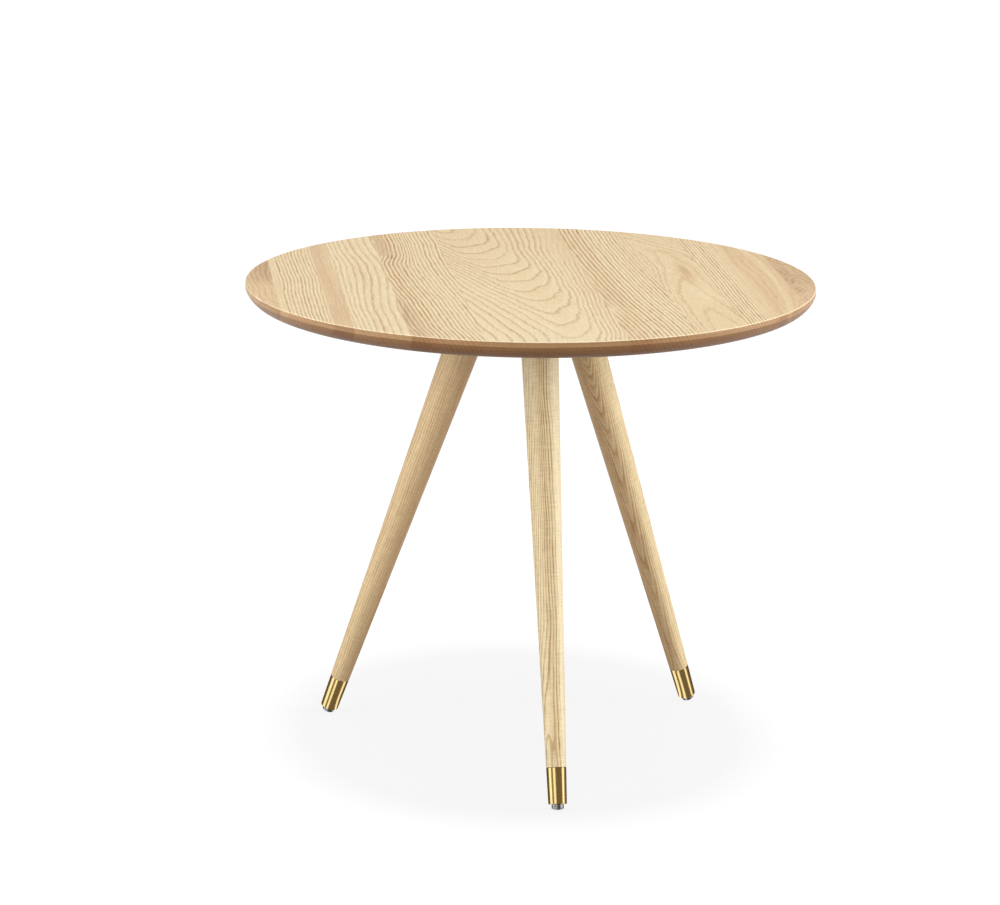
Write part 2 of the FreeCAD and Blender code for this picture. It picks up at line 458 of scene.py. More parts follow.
def closed_lines(rim, front, top_inner, base_inner):
    """One coordinate along the closed lines, from its values on the rim: up the front, where
    they are times the front's sign, over the top, down the back and along the base."""
    return np.concatenate([
        front * rim[:, rim_middle:],
        rim[:, -1:] * top_inner,
        rim[:, :rim_middle - 1:-1],
        rim[:, rim_middle - 1::-1],
        rim[:, :1] * base_inner,
        front * rim[:, :rim_middle],
    ], axis=1)


def board_points(left, right):
    """Points of a board between two seams, as columns of closed lines that start at the front
    of the band. Where a column lies outside a point of the rim, that point slides along the
    rim to the column's own radius, so the outer boards close on the band."""
    ends = np.arcsin(np.clip([left / top_radius, right / top_radius], -1, 1))
    columns = max(4, math.ceil((ends[1] - ends[0]) / column_angle))
    x = top_radius * np.sin(np.linspace(ends[0], ends[1], columns + 1))[:, None]
    reach = np.abs(x)
    radius = np.maximum(rim_radius, reach)
    low_part = np.interp(reach, rim_radius[:rim_middle], rim_height[:rim_middle])
    high_part = np.interp(reach, rim_radius[:rim_middle:-1], rim_height[:rim_middle:-1])
    is_low = np.arange(len(rim_radius)) < rim_middle
    outside = np.where(is_low, low_part, high_part)
    height = np.where(rim_radius < reach, outside, rim_height)
    depth = np.sqrt(np.maximum(radius ** 2 - x ** 2, 0))
    low_rows = rim_middle + 1
    high_rows = len(rim_radius) - rim_middle
    inner_rows = 2 * math.ceil(top_radius / row_step)
    top_inner = np.linspace(-1, 1, inner_rows + 2 * (low_rows - high_rows) + 2)[1:-1]
    base_inner = np.linspace(1, -1, inner_rows)[1:-1]
    y = closed_lines(depth, -1, top_inner, base_inner)
    z = closed_lines(height, 1, np.ones_like(top_inner), np.ones_like(base_inner))
    return np.stack([np.broadcast_to(x, y.shape), y, z], axis=2)


def seam_faces(first, count):
    """Faces that close one end of a fan: rungs between the upper and the lower half of its
    closed line, which starts at the front of the band."""
    upper = first + np.arange((count - 1) // 2)
    lower = 2 * first + count - 1 - upper
    return np.stack([upper, upper + 1, lower - 1, lower], axis=1)


# %% [markdown]
# What the eye knows an ash board by is its figure, and the figure is only the place where
# the saw cut the tree's rings. A noise texture can't know that, so each board gets a
# formula for its own ring number. It is made of a few plain shapes: smooth steps, bells,
# knees, a polynomial along the board, and a gentle sway that keeps lines from looking
# ruled. The sums use millimetres: x across the board from the middle of the top, y back
# along the grain, and z up from the face.

# %% Helpers for figure
millimetres = 1000.0


def step(value, start, end):
    """A smooth step from 0 at the start to 1 at the end."""
    share = np.clip((value - start) / (end - start), 0, 1)
    return share * share * (3 - 2 * share)


def bell(value, centre, width):
    """A bell curve: 1 on the centre and a little over a third a width away."""
    return np.exp(-((value - centre) / width) ** 2)


def knee(value, soft):
    """Zero below 0 and the value itself above it, rounded over a soft length: the logarithm
    of one plus the exponential."""
    return soft * np.logaddexp(0, value / soft)


def through(y, places, values, degree):
    """A smooth curve along a board, the polynomial that passes nearest to the values at the
    places."""
    scale = top_radius * millimetres
    return np.polyval(np.polyfit(np.array(places) / scale, values, degree), y / scale)


def sway(x, y, seed, size):
    """Gentle wander of the rings in millimetres: a sum of waves along the grain, each drifting
    slowly across it, with drifts and starts drawn from a seeded generator."""
    dice = np.random.default_rng(seed)
    longest = 310
    total = np.zeros(np.broadcast(x, y).shape)
    for length in (longest, 170, 95, 52):
        start = dice.uniform(0, 2 * math.pi)
        drift = dice.uniform(-1, 1) / 60
        total += size * length / longest * np.sin(2 * math.pi * y / length + start + drift * x)
    return total


def tremble(x, y, start):
    """Quick, uneven shiver of wide rings between -1 and 1: a wave whose own pace wavers."""
    return np.sin(y / 2.9 + 3 * np.sin(y / 19 + start) + x / 13)


fine_gap = 5.0
nudge = 0.3
least_slope = 0.02


def with_fineness(figure, places, first_way, second_way):
    """The three numbers of a figure at places in millimetres and a fourth, the fineness of
    its lines: the root of the distance between rings over the usual one, and at least 1. That
    distance is one over the slope of the ring number, from small nudges in two ways."""
    rings, tone, strength = figure(*np.moveaxis(places, -1, 0))
    slopes = [
        (figure(*np.moveaxis(places + nudge * way, -1, 0))[0] - rings) / nudge
        for way in (first_way, second_way)
    ]
    gap = 1 / np.maximum(np.hypot(*slopes), least_slope)
    fineness = np.sqrt(np.maximum(gap / fine_gap, 1))
    return np.stack(np.broadcast_arrays(rings, tone, strength, fineness), axis=-1)


# %% [markdown]
# From here each board has a function of its own. It gives three numbers at every point: the
# ring number, the tone from 0 for cream over 1 for pinkish tan to 2 for brown, and the
# strength of the lines. Most boards show plain lines, so their ring number is little more
# than the distance across the board over the pitch of their tree. The lines dip through the
# thickness, so they show on the rim too.

# %% Boards 1 to 4
rings_dip = 0.6


def dipping(x, y, z, seed, size):
    """Distance across a board, with the dip through its thickness and the sway."""
    return x + rings_dip * z + sway(x, y, seed, size)


def board_1(x, y, z):
    """Faint arcs of an oval far longer than wide, brown at the back and tan in front."""
    across = np.hypot(x + 262, (y - 40) / 5 - rings_dip * z)
    dark = bell(x, -277, 8) * bell(y, 85, 45)
    tone = 1.1 + 0.5 * step(y, -20, 40) + 1.1 * dark
    return across / 5.0 + sway(x, y, 11, 3.0) / 6, tone, 0.4


def board_2(x, y, z):
    """Straight lines at 3.8 mm, a plain strip at the left and a wide tan one at the right."""
    rings = dipping(x, y, z, 12, 0.9) / 3.8
    tan_strip = step(x, -225, -219)
    tone = 0.2 + 1.0 * tan_strip - 0.35 * step(x, -212, -206) * step(y, -60, 0)
    return rings, tone, 1.25 - 1.1 * np.maximum(tan_strip, step(-x, 262, 265))


def board_3(x, y, z):
    """Lines that bow to the right in the middle, close at the left and wide at the right."""
    bow = 8 * bell(y, 50, 105)
    across = dipping(x, y, z, 13, 0.9) - bow * step(x, -204, -168)
    rings = across / 4.4 - 0.108 * knee(across + 185, 4)
    return rings, -0.1 + 0.3 * bell(x, -174, 5), 0.75 + 0.1 * step(x, -186, -176)


def board_4(x, y, z):
    """Close lines that lean toward the front and part round a pin knot in tan wood."""
    across = dipping(x, y, z, 14, 1.0) + 0.065 * np.minimum(y - 30, 0) + 0.01 * y
    across = across - 9 * step(y, 95, 150) * step(-x, 104, 126)
    corner = step(-x, 130, 140) * step(y, 138, 152)
    wedge = step(-x - 0.09 * y, 146, 158) * step(-y, 20, 60)
    patch = bell(x, -143, 4) * bell(y, -150, 45)
    knot = bell(x + 0.12 * (y - 137), -135, 2) * bell(y, 137, 9)
    tone = 0.15 + 0.75 * step(-x, 112, 138) + 0.5 * (corner + wedge + patch) + 2.5 * knot
    return across / 4.55, tone, 1.3 - 0.9 * corner - 0.4 * wedge + 0.1 * step(x, -112, -90)


# %% [markdown]
# The widest board was sawn close over the pith, so its rings come up through the face as
# nested arches that open to the back. Three things make them: how the ring number grows
# toward the front along the middle line of the arches, where that line runs, and how it
# grows to each side. The left flank starts to climb at a knee and then keeps a steady
# pitch; the right one rises slowly at first and then crowds to fine parallel lines.

# %% Board 5, the arches
arch_tips = (262, 243, 198, 145, 108, 80, 50, 5, -60, -105, -165, -230)
arch_middles = (-58, -50, -43, -38, -27, -22, -14, -8, -3, -2, 0, 6)
flank_places = (280, 200, 100, 0, -100, -200, -290)
left_knees = (12, 14, 34, 22, 8, 7, 7)
left_pitches = (9, 8, 5, 8, 10, 12, 12.5)
right_pitches = (9.5, 8.5, 6, 5.5, 5.3, 5, 5)


def board_5(x, y, z):
    """Nested arches: a ring number along their middle line plus what each flank adds."""
    tip = through(y, arch_tips, range(len(arch_tips)), 4)
    beside = x - through(y, arch_tips, arch_middles, 3) + sway(x, y, 15, 1.4)
    inner = step(-np.abs(beside), -45, -15)
    tip = tip + 0.07 * tremble(y, 0.6 * x, 4) * (0.3 + 0.7 * inner)
    beside = beside + (0.25 + 0.8 * inner) * tremble(x, y, 1)
    left_knee = through(y, flank_places, left_knees, 4)
    left = knee(-beside - left_knee, 3) / through(y, flank_places, left_pitches, 4)
    right_pitch = through(y, flank_places, right_pitches, 3)
    right = knee(beside, 4) / 33 + knee(beside - 32, 4) / right_pitch
    plain = step(x, 34, 42) * step(y, 90, 120)
    tone = 0.1 + 0.0011 * y + 0.3 * step(x, 40, 62)
    return tip + left + right + 0.45 * z, tone, 0.85 - 0.55 * plain


# %% Boards 6 to 10
def board_6(x, y, z):
    """Lines that lean toward the front, pinkish tan at the left and cream at the right, with
    a short curl at the left seam and a pin knot in front."""
    lean = 0.05 * np.minimum(y - 110, 0) + 0.03 * np.minimum(y + 40, 0)
    across = dipping(x, y, z, 16, 0.7) + lean
    rings = across / 5.0 + 0.038 * knee(across - 96, 6)
    plain = step(x, 116, 124) * step(y, -60, 20)
    curl = bell(x, 67, 6) * bell(y, -148, 24)
    knot = bell(x, 100, 1.5) * bell(y, -202, 4)
    patch = bell(x, 74, 9) * bell(y, -85, 45)
    tone = 0.8 - 0.7 * step(x, 82, 92) + 0.5 * patch - 0.9 * curl + 2.2 * knot + 0.35 * plain
    return rings, tone, 1.2 + 0.25 * step(x, 80, 88) - 0.6 * plain - 0.9 * curl


def board_7(x, y, z):
    """Long, quiet arches that open to the front, with a brown streak, a brown patch and a
    pale island: the distance from their middle line to the power 1.5, plus a rise toward the
    back, and lines that run along the left seam."""
    middle = 163 - 0.45 * knee(y - 140, 8) + 3 * step(-y, 120, 170)
    beside = x - middle + sway(x, y, 17, 2.0) + 0.7 * tremble(x, y, 2)
    rings = (y + 5) / 155 + (np.abs(beside) / 20) ** 1.5 + knee(-beside - 19, 2) / 8
    streak = bell(x + 0.53 * (y - 145), 171, 4) * bell(y, 145, 22)
    patch = bell(x, 171, 8) * bell(y, 40, 50)
    island = bell(y, -80, 55) * step(-np.abs(x - 170), -17, -10)
    tone = 0.4 + 0.9 * streak + 1.3 * patch - 0.3 * island
    return rings - 0.4 * z, tone, 0.6 - 0.3 * island


def board_8(x, y, z):
    """Fine straight lines broken into dots, and a plain strip at the right."""
    rings = dipping(x, y, z, 18, 0.4) / 3.6
    return rings, 0.25 + 0.25 * step(x, 218, 224), 1.3 - 1.0 * step(x, 214, 219)


def board_9(x, y, z):
    """Nearly plain pinkish tan wood with a few faint lines that bow to the right."""
    bow = 0.0008 * (y - 20) ** 2 * step(x, 236, 262)
    pale = bell(x, 260 - 0.0004 * (y - 20) ** 2, 3)
    return (dipping(x, y, z, 19, 1.5) + bow) / 9.0, 1.05 - 0.9 * pale, 0.25


def board_10(x, y, z):
    """Brown wood with steep, uneven arches that point to the back, and darker blotches."""
    rings = np.hypot(x - 284, 2) / 7 + (y + 15) / 34 + sway(x, y, 20, 9.0) / 6.5
    blotches = bell(x, 276, 4) * (bell(y, 23, 12) + bell(y, -18, 9) + bell(y, -62, 14))
    return rings - 0.2 * z, 1.35 + 0.4 * step(y, -70, 0) + 0.9 * blotches, 0.35


board_figures = [board_1, board_2, board_3, board_4, board_5]
board_figures += [board_6, board_7, board_8, board_9, board_10]
print(len(board_figures), "board figures")

# %% [markdown]
# Now the boards themselves. The figure is worked out in the board's own directions, and the
# mesh is then turned by the small angle at which the boards run under the round outline. On
# the rim the lines are fainter, and toward the sides the rim is darkened with painted shade.

# %% Boards
rim_line_share = 0.3
rim_side_painted_shade = 0.8
rim_from_top = (0.4, 1.5)
rim_to_base = (-19.8, -19.2)
rim_shade_sides = (120, 260)
top_finish = ash("ash_top", (0, 0, table_height), (0, 0, board_turn))
board_way = np.array(Matrix.Rotation(board_turn, 3, "Z"))
for number, node in enumerate(top_nodes):
    points = board_points(seams[number], seams[number + 1])
    columns, rows = points.shape[:2]
    local = (points - [0, 0, table_height]) * millimetres
    grain = with_fineness(board_figures[number], local, *np.eye(3)[:2])
    on_rim = step(-local[..., 2], *rim_from_top) * step(local[..., 2], *rim_to_base)
    # Painted shade: the rim grows darker toward the sides.
    grain[..., 1] += rim_side_painted_shade * on_rim * step(np.abs(local[..., 0]), *rim_shade_sides)
    grain[..., 2] *= 1 - (1 - rim_line_share) * on_rim
    faces = [grid_faces(columns, rows, closed_columns=True)]
    if number > 0:
        faces.append(seam_faces(0, rows))
    if number < len(top_nodes) - 1:
        faces.append(seam_faces((columns - 1) * rows, rows))
    name = f"board_{number + 1:02d}"
    board = make_piece(name, points @ board_way.T, np.concatenate(faces), grain)
    dress(board, "table", "ash_top", top_finish, node)

# %% [markdown]
# The legs are turned on a lathe from straight ash blanks. A turned piece is a profile of
# radius and height carried round its axis. The rings of the blank are nearly flat sheets
# through it: where they graze the surface they draw the nested arches that turned ash is
# known for, and elsewhere fine straight lines.

# %% Sizes of the legs
leg_azimuths = {"front": math.radians(-90), "right": math.radians(30), "left": math.radians(150)}
leg_foot_spread = 0.235
leg_top_spread = 0.0555
leg_head_radius = 0.0195
leg_foot_radius = 0.0094
leg_seat_depth = 0.02
hub_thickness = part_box("hub")[1].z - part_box("hub")[0].z
splay = math.atan((leg_foot_spread - leg_top_spread) / underside)
leg_end = underside / math.cos(splay) - leg_seat_depth
leg_head_start = (underside - hub_thickness) / math.cos(splay) - leg_head_radius * math.tan(splay)
print(f"Legs: splay {math.degrees(splay):.2f} degrees, {leg_end:.4f} long")


def taper_radius(along):
    """Radius of a leg's outside at a distance along its axis from the floor."""
    return leg_foot_radius + (leg_head_radius - leg_foot_radius) * along / leg_head_start


def leg_frame(azimuth):
    """Place of a piece turned about +Z on a leg's axis: leaned outwards, moved to the foot."""
    lean = Matrix.Rotation(-splay, 4, "Y")
    return Matrix.Rotation(azimuth, 4, "Z") @ Matrix.Translation((leg_foot_spread, 0, 0)) @ lean


def turned_points(profile, around):
    """Points of a piece turned about +Z: every (radius, height) of the profile carried round
    a circle, x = radius times cosine and y = radius times sine of the angle."""
    profile = np.array(profile)
    angle = np.linspace(0, 2 * math.pi, around, endpoint=False)[None, :]
    radius = profile[:, :1]
    height = np.broadcast_to(profile[:, 1:], (len(profile), around))
    return np.stack([radius * np.cos(angle), radius * np.sin(angle), height], axis=2)


def placed(points, matrix):
    """Points moved by a matrix."""
    matrix = np.array(matrix)
    return points @ matrix[:3, :3].T + matrix[:3, 3]


def divided(profile, step_length):
    """A profile with points added so that no straight run is longer than a step."""
    result = [profile[:1]]
    for start, end in zip(profile, profile[1:]):
        steps = max(1, math.ceil(math.dist(start, end) / step_length))
        result.append(np.linspace(start, end, steps + 1)[1:])
    return np.concatenate(result)


def on_leg(name, azimuth, points, closed=False, grain=None):
    """Turned piece set on the axis of the leg at an azimuth."""
    faces = grid_faces(*points.shape[:2], closed_rows=closed, closed_columns=True)
    return make_piece(name, placed(points, leg_frame(azimuth)), faces, grain)


# %% Legs
ferrule_top = 0.0445
ferrule_bottom = 0.007
ferrule_floor = 0.0012
spigot_radius = 0.00825
spigot_end = 0.0085
seam_chamfer = 0.0003
leg_head_chamfer = 0.0015
leg_row_step = 0.003
leg_around = 96
leg_tint = colour(255, 254, 247)
leg_curl = 0.4


def leg_profile():
    """Half outline of a leg from the spigot in its ferrule to the head in the hub."""
    seam = taper_radius(ferrule_top)
    return [
        (0, spigot_end),
        (spigot_radius, spigot_end),
        (spigot_radius, ferrule_top),
        (seam - seam_chamfer, ferrule_top),
        (taper_radius(ferrule_top + seam_chamfer), ferrule_top + seam_chamfer),
        (leg_head_radius, leg_head_start),
        (leg_head_radius, leg_end - leg_head_chamfer),
        (leg_head_radius - leg_head_chamfer, leg_end),
        (0, leg_end),
    ]


def sheets(x, y, z, heading, seed):
    """Distance in millimetres across flat ring sheets that face a heading round a leg's axis,
    with the wander of the boards, and how squarely the surface faces that heading."""
    toward = x * math.cos(heading) + y * math.sin(heading)
    face = toward / np.maximum(np.hypot(x, y), 1e-6)
    return toward + sway(toward, z, seed, 1.0), face


def front_leg(x, y, z):
    """Fine lines, straight at the right and leaning out to the left on the way down at the
    left, painted shade along the middle, a plain side at the right that is paler in part with
    painted light, and painted light on the upper end that lifts the shadow of the top."""
    across, face = sheets(x, y, z, math.radians(75), 31)
    plain = step(face, 0.5, 0.8)
    lean = 0.065 * (z - 230) * step(-face, -0.3, 0.9)
    # Painted shade along the middle, painted light on the plain side and near the upper end.
    tone = -0.4 + 1.05 * bell(face, 0.1, 0.32) - 0.4 * plain - 0.7 * step(z, 380, 470)
    return (across - lean) / 2.85, tone, 1.5 - 1.25 * plain


arch_heights = (427, 415, 402, 380, 355, 321, 309, 250, 218, 194, 136, 60)
arch_rings = (0, 1, 2, 3, 4, 5.2, 6, 6.7, 7.3, 8.1, 9.2, 9.8)


def right_leg(x, y, z):
    """Rings that graze the near side, so their lines nest in long points that aim down: a
    count along the leg plus the distance from the points' own line to the power 1.9. Left of
    the middle, on the side turned from the light, the wood gets painted shade."""
    aside = sheets(x, y, z, math.radians(132), 32)[0]
    right = sheets(x, y, z, math.radians(-38.7), 32)[1]
    count = through(z, arch_heights, arch_rings, 5)
    # Painted shade on the side that turns away from the right.
    dark = step(-right, -0.6, -0.08) * (1 - 0.3 * step(-right, 0.5, 0.9))
    rings = count + 2.9 * (np.abs(aside) / 9.5) ** 1.9
    return rings, 0.1 + 1.4 * dark, 0.85 - 0.25 * step(-z, -220, -100)


def left_leg(x, y, z):
    """Faint straight lines all round, and painted shade that grows toward the right."""
    across, face = sheets(x, y, z, math.radians(21), 33)
    # The tone grows toward the right as painted shade.
    return (across + 0.01 * z) / 2.6, 1.2 - 0.35 * face, 0.6


leg_figures = {"front": front_leg, "right": right_leg, "left": left_leg}
points = turned_points(divided(leg_profile(), leg_row_step), leg_around)
around = np.arctan2(points[..., 1], points[..., 0])
tangent = np.stack([-np.sin(around), np.cos(around), 0 * around], axis=-1)
for leg, azimuth in leg_azimuths.items():
    grain = with_fineness(leg_figures[leg], points * millimetres, tangent, np.eye(3)[2])
    shape = on_leg(f"{leg}_turned_leg", azimuth, points, grain=grain)
    where = leg_frame(azimuth)
    turn = (where @ Matrix.Rotation(math.pi / 2, 4, "X")).to_euler()
    finish = ash(f"ash_{leg}_leg", where.translation, turn, tint=leg_tint, curl=leg_curl)
    dress(shape, "table", "ash_legs", finish, f"{leg}_leg")

# %% [markdown]
# The ferrules are brass cups. Polished brass has little colour of its own in a picture: it
# shows the studio, in narrow upright bands. So the finish is a clean metal with faint
# mottling in its gloss, and the bands come from what stands round the foot.

# %% Brass ferrules
brass_tone = colour(228, 203, 140)
ferrule_around = 96
ferrule_hole = 0.0035
ferrule_bore = 0.0083
ferrule_chamfer = 0.0006


def ferrule_profile():
    """Closed half outline of a ferrule: floor, tapered outside, mouth and bore."""
    side = taper_radius(ferrule_bottom + ferrule_chamfer)
    easing = ferrule_chamfer * 0.3
    return [
        (ferrule_hole, ferrule_bottom),
        (taper_radius(ferrule_bottom) - ferrule_chamfer, ferrule_bottom),
        (side - easing, ferrule_bottom + easing),
        (side, ferrule_bottom + ferrule_chamfer),
        (taper_radius(ferrule_top - seam_chamfer), ferrule_top - seam_chamfer),
        (taper_radius(ferrule_top) - seam_chamfer, ferrule_top),
        (ferrule_bore, ferrule_top),
        (ferrule_bore, ferrule_bottom + ferrule_floor),
        (ferrule_hole, ferrule_bottom + ferrule_floor),
    ]


def brass():
    """Polished brass with faint mottling in its gloss."""
    metal = Finish("polished_brass")
    gloss = metal.noise(metal.place(), 180, 3) * 0.08 + 0.14
    return metal.set(Base_Color=brass_tone, Metallic=1.0, Roughness=gloss)


brass_finish = brass()
points = turned_points(ferrule_profile(), ferrule_around)
for leg, azimuth in leg_azimuths.items():
    cup = on_leg(f"{leg}_brass_ferrule", azimuth, points, closed=True)
    dress(cup, "table", "brass", brass_finish, f"{leg}_ferrule")

# %% [markdown]
# Under each ferrule a steel glide screws in and out to level the table. Its head is a low
# dome with a rounded edge, and its stud has a metric thread with a pitch of 1 mm. A thread
# is a surface of two parameters: the height, and the angle round the axis, where the radius
# swings in and out once for each pitch of height less the angle's share of a turn.

# %% Steel glides
glide_head_radius = 0.0063
glide_head_top = 0.0067
glide_dome_radius = 0.014
glide_dome_centre = glide_dome_radius / math.cos(splay)
glide_edge_radius = 0.0008
back_bevel = 0.0003
stud_radius = 0.003
stud_top = 0.0327
thread_pitch = 0.001
thread_depth = 0.0005
thread_end = 1e-4
stud_chamfer = 0.0006
thread_rows_per_pitch = 6
glide_around = 48


def arc(aside, above, radius, angles):
    """Points on a circle round a middle, by their angles from straight down."""
    return list(zip(aside + radius * np.sin(angles), above - radius * np.cos(angles)))


def glide_profile():
    """Half outline of a glide: domed face, an edge rounded by a circle that touches both the
    dome and the side, a bevelled back, then the plain stud that the thread is cut into."""
    inner = glide_head_radius - glide_edge_radius
    sphere = glide_dome_radius - glide_edge_radius
    edge_start = math.asin(inner / sphere)
    edge_centre = glide_dome_centre - math.sqrt(sphere ** 2 - inner ** 2)
    rows = arc(0, glide_dome_centre, glide_dome_radius, np.linspace(0, edge_start, 8))
    edge = np.linspace(edge_start, math.pi / 2, 6)[1:]
    rows += arc(inner, edge_centre, glide_edge_radius, edge)
    rows.append((glide_head_radius, glide_head_top - back_bevel))
    rows.append((glide_head_radius - back_bevel, glide_head_top))
    row_step = thread_pitch / thread_rows_per_pitch
    heights = np.arange(glide_head_top, stud_top - stud_chamfer, row_step)
    rows += [(stud_radius, height) for height in heights]
    return rows + [(stud_radius - stud_chamfer, stud_top), (0, stud_top)]


def threaded(points, start, end, pitch, share):
    """Cuts a thread between two heights: the radius less a share of itself times a triangle
    wave of height over pitch less angle over a turn."""
    angle = np.arctan2(points[..., 1], points[..., 0])
    wave = (points[..., 2] / pitch - angle / (2 * math.pi)) % 1
    inside = (points[..., 2] > start) & (points[..., 2] < end)
    shrink = np.where(inside, 1 - share * np.abs(2 * wave - 1), 1)
    return points * np.stack([shrink, shrink, np.ones_like(shrink)], axis=2)


steel_wear = colour(120, 120, 124)


def steel(name, tone):
    """Zinc-plated or bare steel with a mottled, slightly scratched gloss."""
    metal = Finish(name)
    mottle = metal.noise(metal.place(), 900, 4, 0.7).ramp((0.35, 0), (0.7, 1))
    gloss = metal.noise(metal.place(), 240) * 0.2 + 0.3
    worn = metal.mix(mottle, tone, steel_wear, "MULTIPLY")
    return metal.set(Base_Color=worn, Metallic=1.0, Roughness=gloss)


glide_finish = steel("glide_steel", colour(185, 186, 188))
thread = (glide_head_top + thread_end, stud_top - thread_end)
points = turned_points(glide_profile(), glide_around)
points = threaded(points, *thread, thread_pitch, thread_depth / stud_radius)
for leg, azimuth in leg_azimuths.items():
    glide = on_leg(f"{leg}_levelling_glide", azimuth, points)
    dress(glide, f"{leg}_foot", "glide_steel", glide_finish, f"{leg}_glide")

# %% [markdown]
# Under the top sits the hub, a plain ash block that carries the leg heads. Its solid already
# has the sockets and the screw holes, so it stays, and gets wood whose rings are worked out
# in the shader. The inserts and bolts inside stay too, in zinc-plated steel. The six screws
# that hold it to the top get a thread and the cross recess in their heads.

# %% Hub and hidden hardware
hub_pitch = 0.0042
hub_pith = (-0.12, 0, -0.09)
hub_stretch = (1, 0.03, 1)


def hub_rings(wood, local):
    """Rings of the hub's block: distance from a pith well below and beside it, over a pitch."""
    away = wood.distance(local, hub_pith, hub_stretch)
    return away * (1 / hub_pitch), 0.3, 0.8, 1.0


zinc_finish = steel("zinc_plate", colour(190, 192, 198))
hidden = ("hanger_bolt", "hub_insert", "foot_insert")
finishes = {f"{leg}_{piece}": zinc_finish for leg in leg_azimuths for piece in hidden}
print("Zinc plate on", len(finishes), "pieces of hardware, ash on the hub")
finishes["hub"] = ash("ash_hub", (0, 0, underside), (0, 0, math.radians(20)), hub_rings)
for node, finish in finishes.items():
    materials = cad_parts[node].data.materials
    materials.clear()
    materials.append(finish)

# %% Hub screws
screw_head_height = 0.457
screw_edge = 0.0002
screw_rim = 0.0006
screw_head_radius = 0.005
screw_radius = 0.0025
screw_tip_height = 0.501
screw_tip_length = 0.005
screw_thread_start = 0.4605
screw_pitch = 0.0022
screw_root_share = 0.25
recess_depth = 0.0018
recess_reach = 0.0026
recess_half_width = 0.00055
recess_soft = 0.3
screw_around = 64
screw_circles = (0.032, 0.082)
screw_turns = (-30, 90, -150)


def screw_profile():
    """Half outline of a countersunk wood screw, from the middle of its head to its point. The
    neck is where the cone of the head, at 45 degrees, meets the shank."""
    neck = screw_head_height + screw_rim + screw_head_radius - screw_radius
    recess = [(radius, screw_head_height) for radius in np.linspace(0, recess_reach, 14)]
    head = [
        (screw_head_radius - screw_edge, screw_head_height),
        (screw_head_radius, screw_head_height + screw_edge),
        (screw_head_radius, screw_head_height + screw_rim),
        (screw_radius, neck),
    ]
    heights = np.arange(neck, screw_tip_height, screw_pitch / 5)[1:]
    radii = screw_radius * np.minimum((screw_tip_height - heights) / screw_tip_length, 1)
    return recess + head + list(zip(radii, heights)) + [(0, screw_tip_height)]


def recessed(points):
    """Sinks the cross into the head. A point's distance from the nearest arm's middle line is
    its radius times the sine of the angle between them."""
    radius = np.hypot(points[..., 0], points[..., 1])
    angle = np.arctan2(points[..., 1], points[..., 0])
    aside = radius * np.abs(np.sin((angle + math.pi / 4) % (math.pi / 2) - math.pi / 4))
    soft_width = recess_half_width * recess_soft
    across = step(-aside, -recess_half_width - soft_width, soft_width - recess_half_width)
    within = step(-radius, -recess_reach, -recess_reach * (1 - recess_soft))
    on_face = points[..., 2] < screw_head_height + merge_distance
    sunk = recess_depth * across * within * on_face
    return points + np.stack([0 * sunk, 0 * sunk, sunk], axis=2)


shape = recessed(turned_points(screw_profile(), screw_around))
thread = (screw_thread_start, screw_tip_height - thread_end)
shape = threaded(shape, *thread, screw_pitch, screw_root_share)
faces = grid_faces(*shape.shape[:2], closed_columns=True)
points = np.stack([
    placed(shape + [away, 0, 0], Matrix.Rotation(math.radians(turn), 4, "Z"))
    for away in screw_circles for turn in screw_turns
])
faces = np.concatenate([faces + number * shape[..., 0].size for number in range(len(points))])
screws = make_piece("hub_wood_screws", points, faces)
dress(screws, "table", "zinc_hardware", zinc_finish, "hub_screws")

# %% [markdown]
# The studio is a white floor and a white world. The camera sees the floor as a lit white
# with a painted shadow under the table, a faint grey pool, and a small share of real shading
# keeps the soft shadow of the feet. Seen from below the floor lets the view through.

# %% Floor and world
# The painted shadow under the table: its centre, stretch, radius, soft edge and level.
painted_shadow_centre = (0, 0.032, 0)
painted_shadow_shape = (1.059, 0.89, 1)
painted_shadow_radius = 0.311
painted_shadow_soft_edge = 0.065
painted_shadow_level = 0.852
real_share = 0.1
floor_glow = 1.13
floor_white = (0.8, 0.8, 0.8, 1)
floor_bounce = (0.14, 0.14, 0.14, 1)
floor_half = 6.0
fill_level = 0.32


def ray(finish, kind):
    """1 for the rays of a kind and 0 for the others."""
    return finish.node("LightPath", {}, f"Is {kind} Ray")


def floor_finish():
    """White floor: mostly a plain glow to the camera and to metal, plain grey to the rest."""
    white = Finish("studio_floor")
    point = white.node("NewGeometry", {}, "Position")
    # Painted shadow: the glow dims to a faint grey in the pool under the table.
    from_painted_shadow = white.distance(point, painted_shadow_centre, painted_shadow_shape)
    edge = (from_painted_shadow - (painted_shadow_radius - painted_shadow_soft_edge)) * (1 / (2 * painted_shadow_soft_edge))
    level = edge.ramp((0, painted_shadow_level), (1, 1))
    glow = white.node("Emission", {"Color": level, "Strength": floor_glow})
    lit = white.node("BsdfDiffuse", {"Color": floor_white})
    plain = white.node("BsdfDiffuse", {"Color": floor_bounce})
    direct = ray(white, "Camera").math("MAXIMUM", ray(white, "Glossy"))
    shown = white.blend(direct, plain, white.blend(real_share, glow, lit))
    behind = white.node("NewGeometry", {}, "Backfacing")
    return white.show(white.blend(behind, shown, white.node("BsdfTransparent", {})))


corners = np.array([(-1, -1, 0), (1, -1, 0), (1, 1, 0), (-1, 1, 0)]) * floor_half
floor_mesh = bpy.data.meshes.new("floor")
floor_mesh.from_pydata(corners, [], [(0, 1, 2, 3)])
floor_mesh.materials.append(floor_finish())
add("floor", floor_mesh)

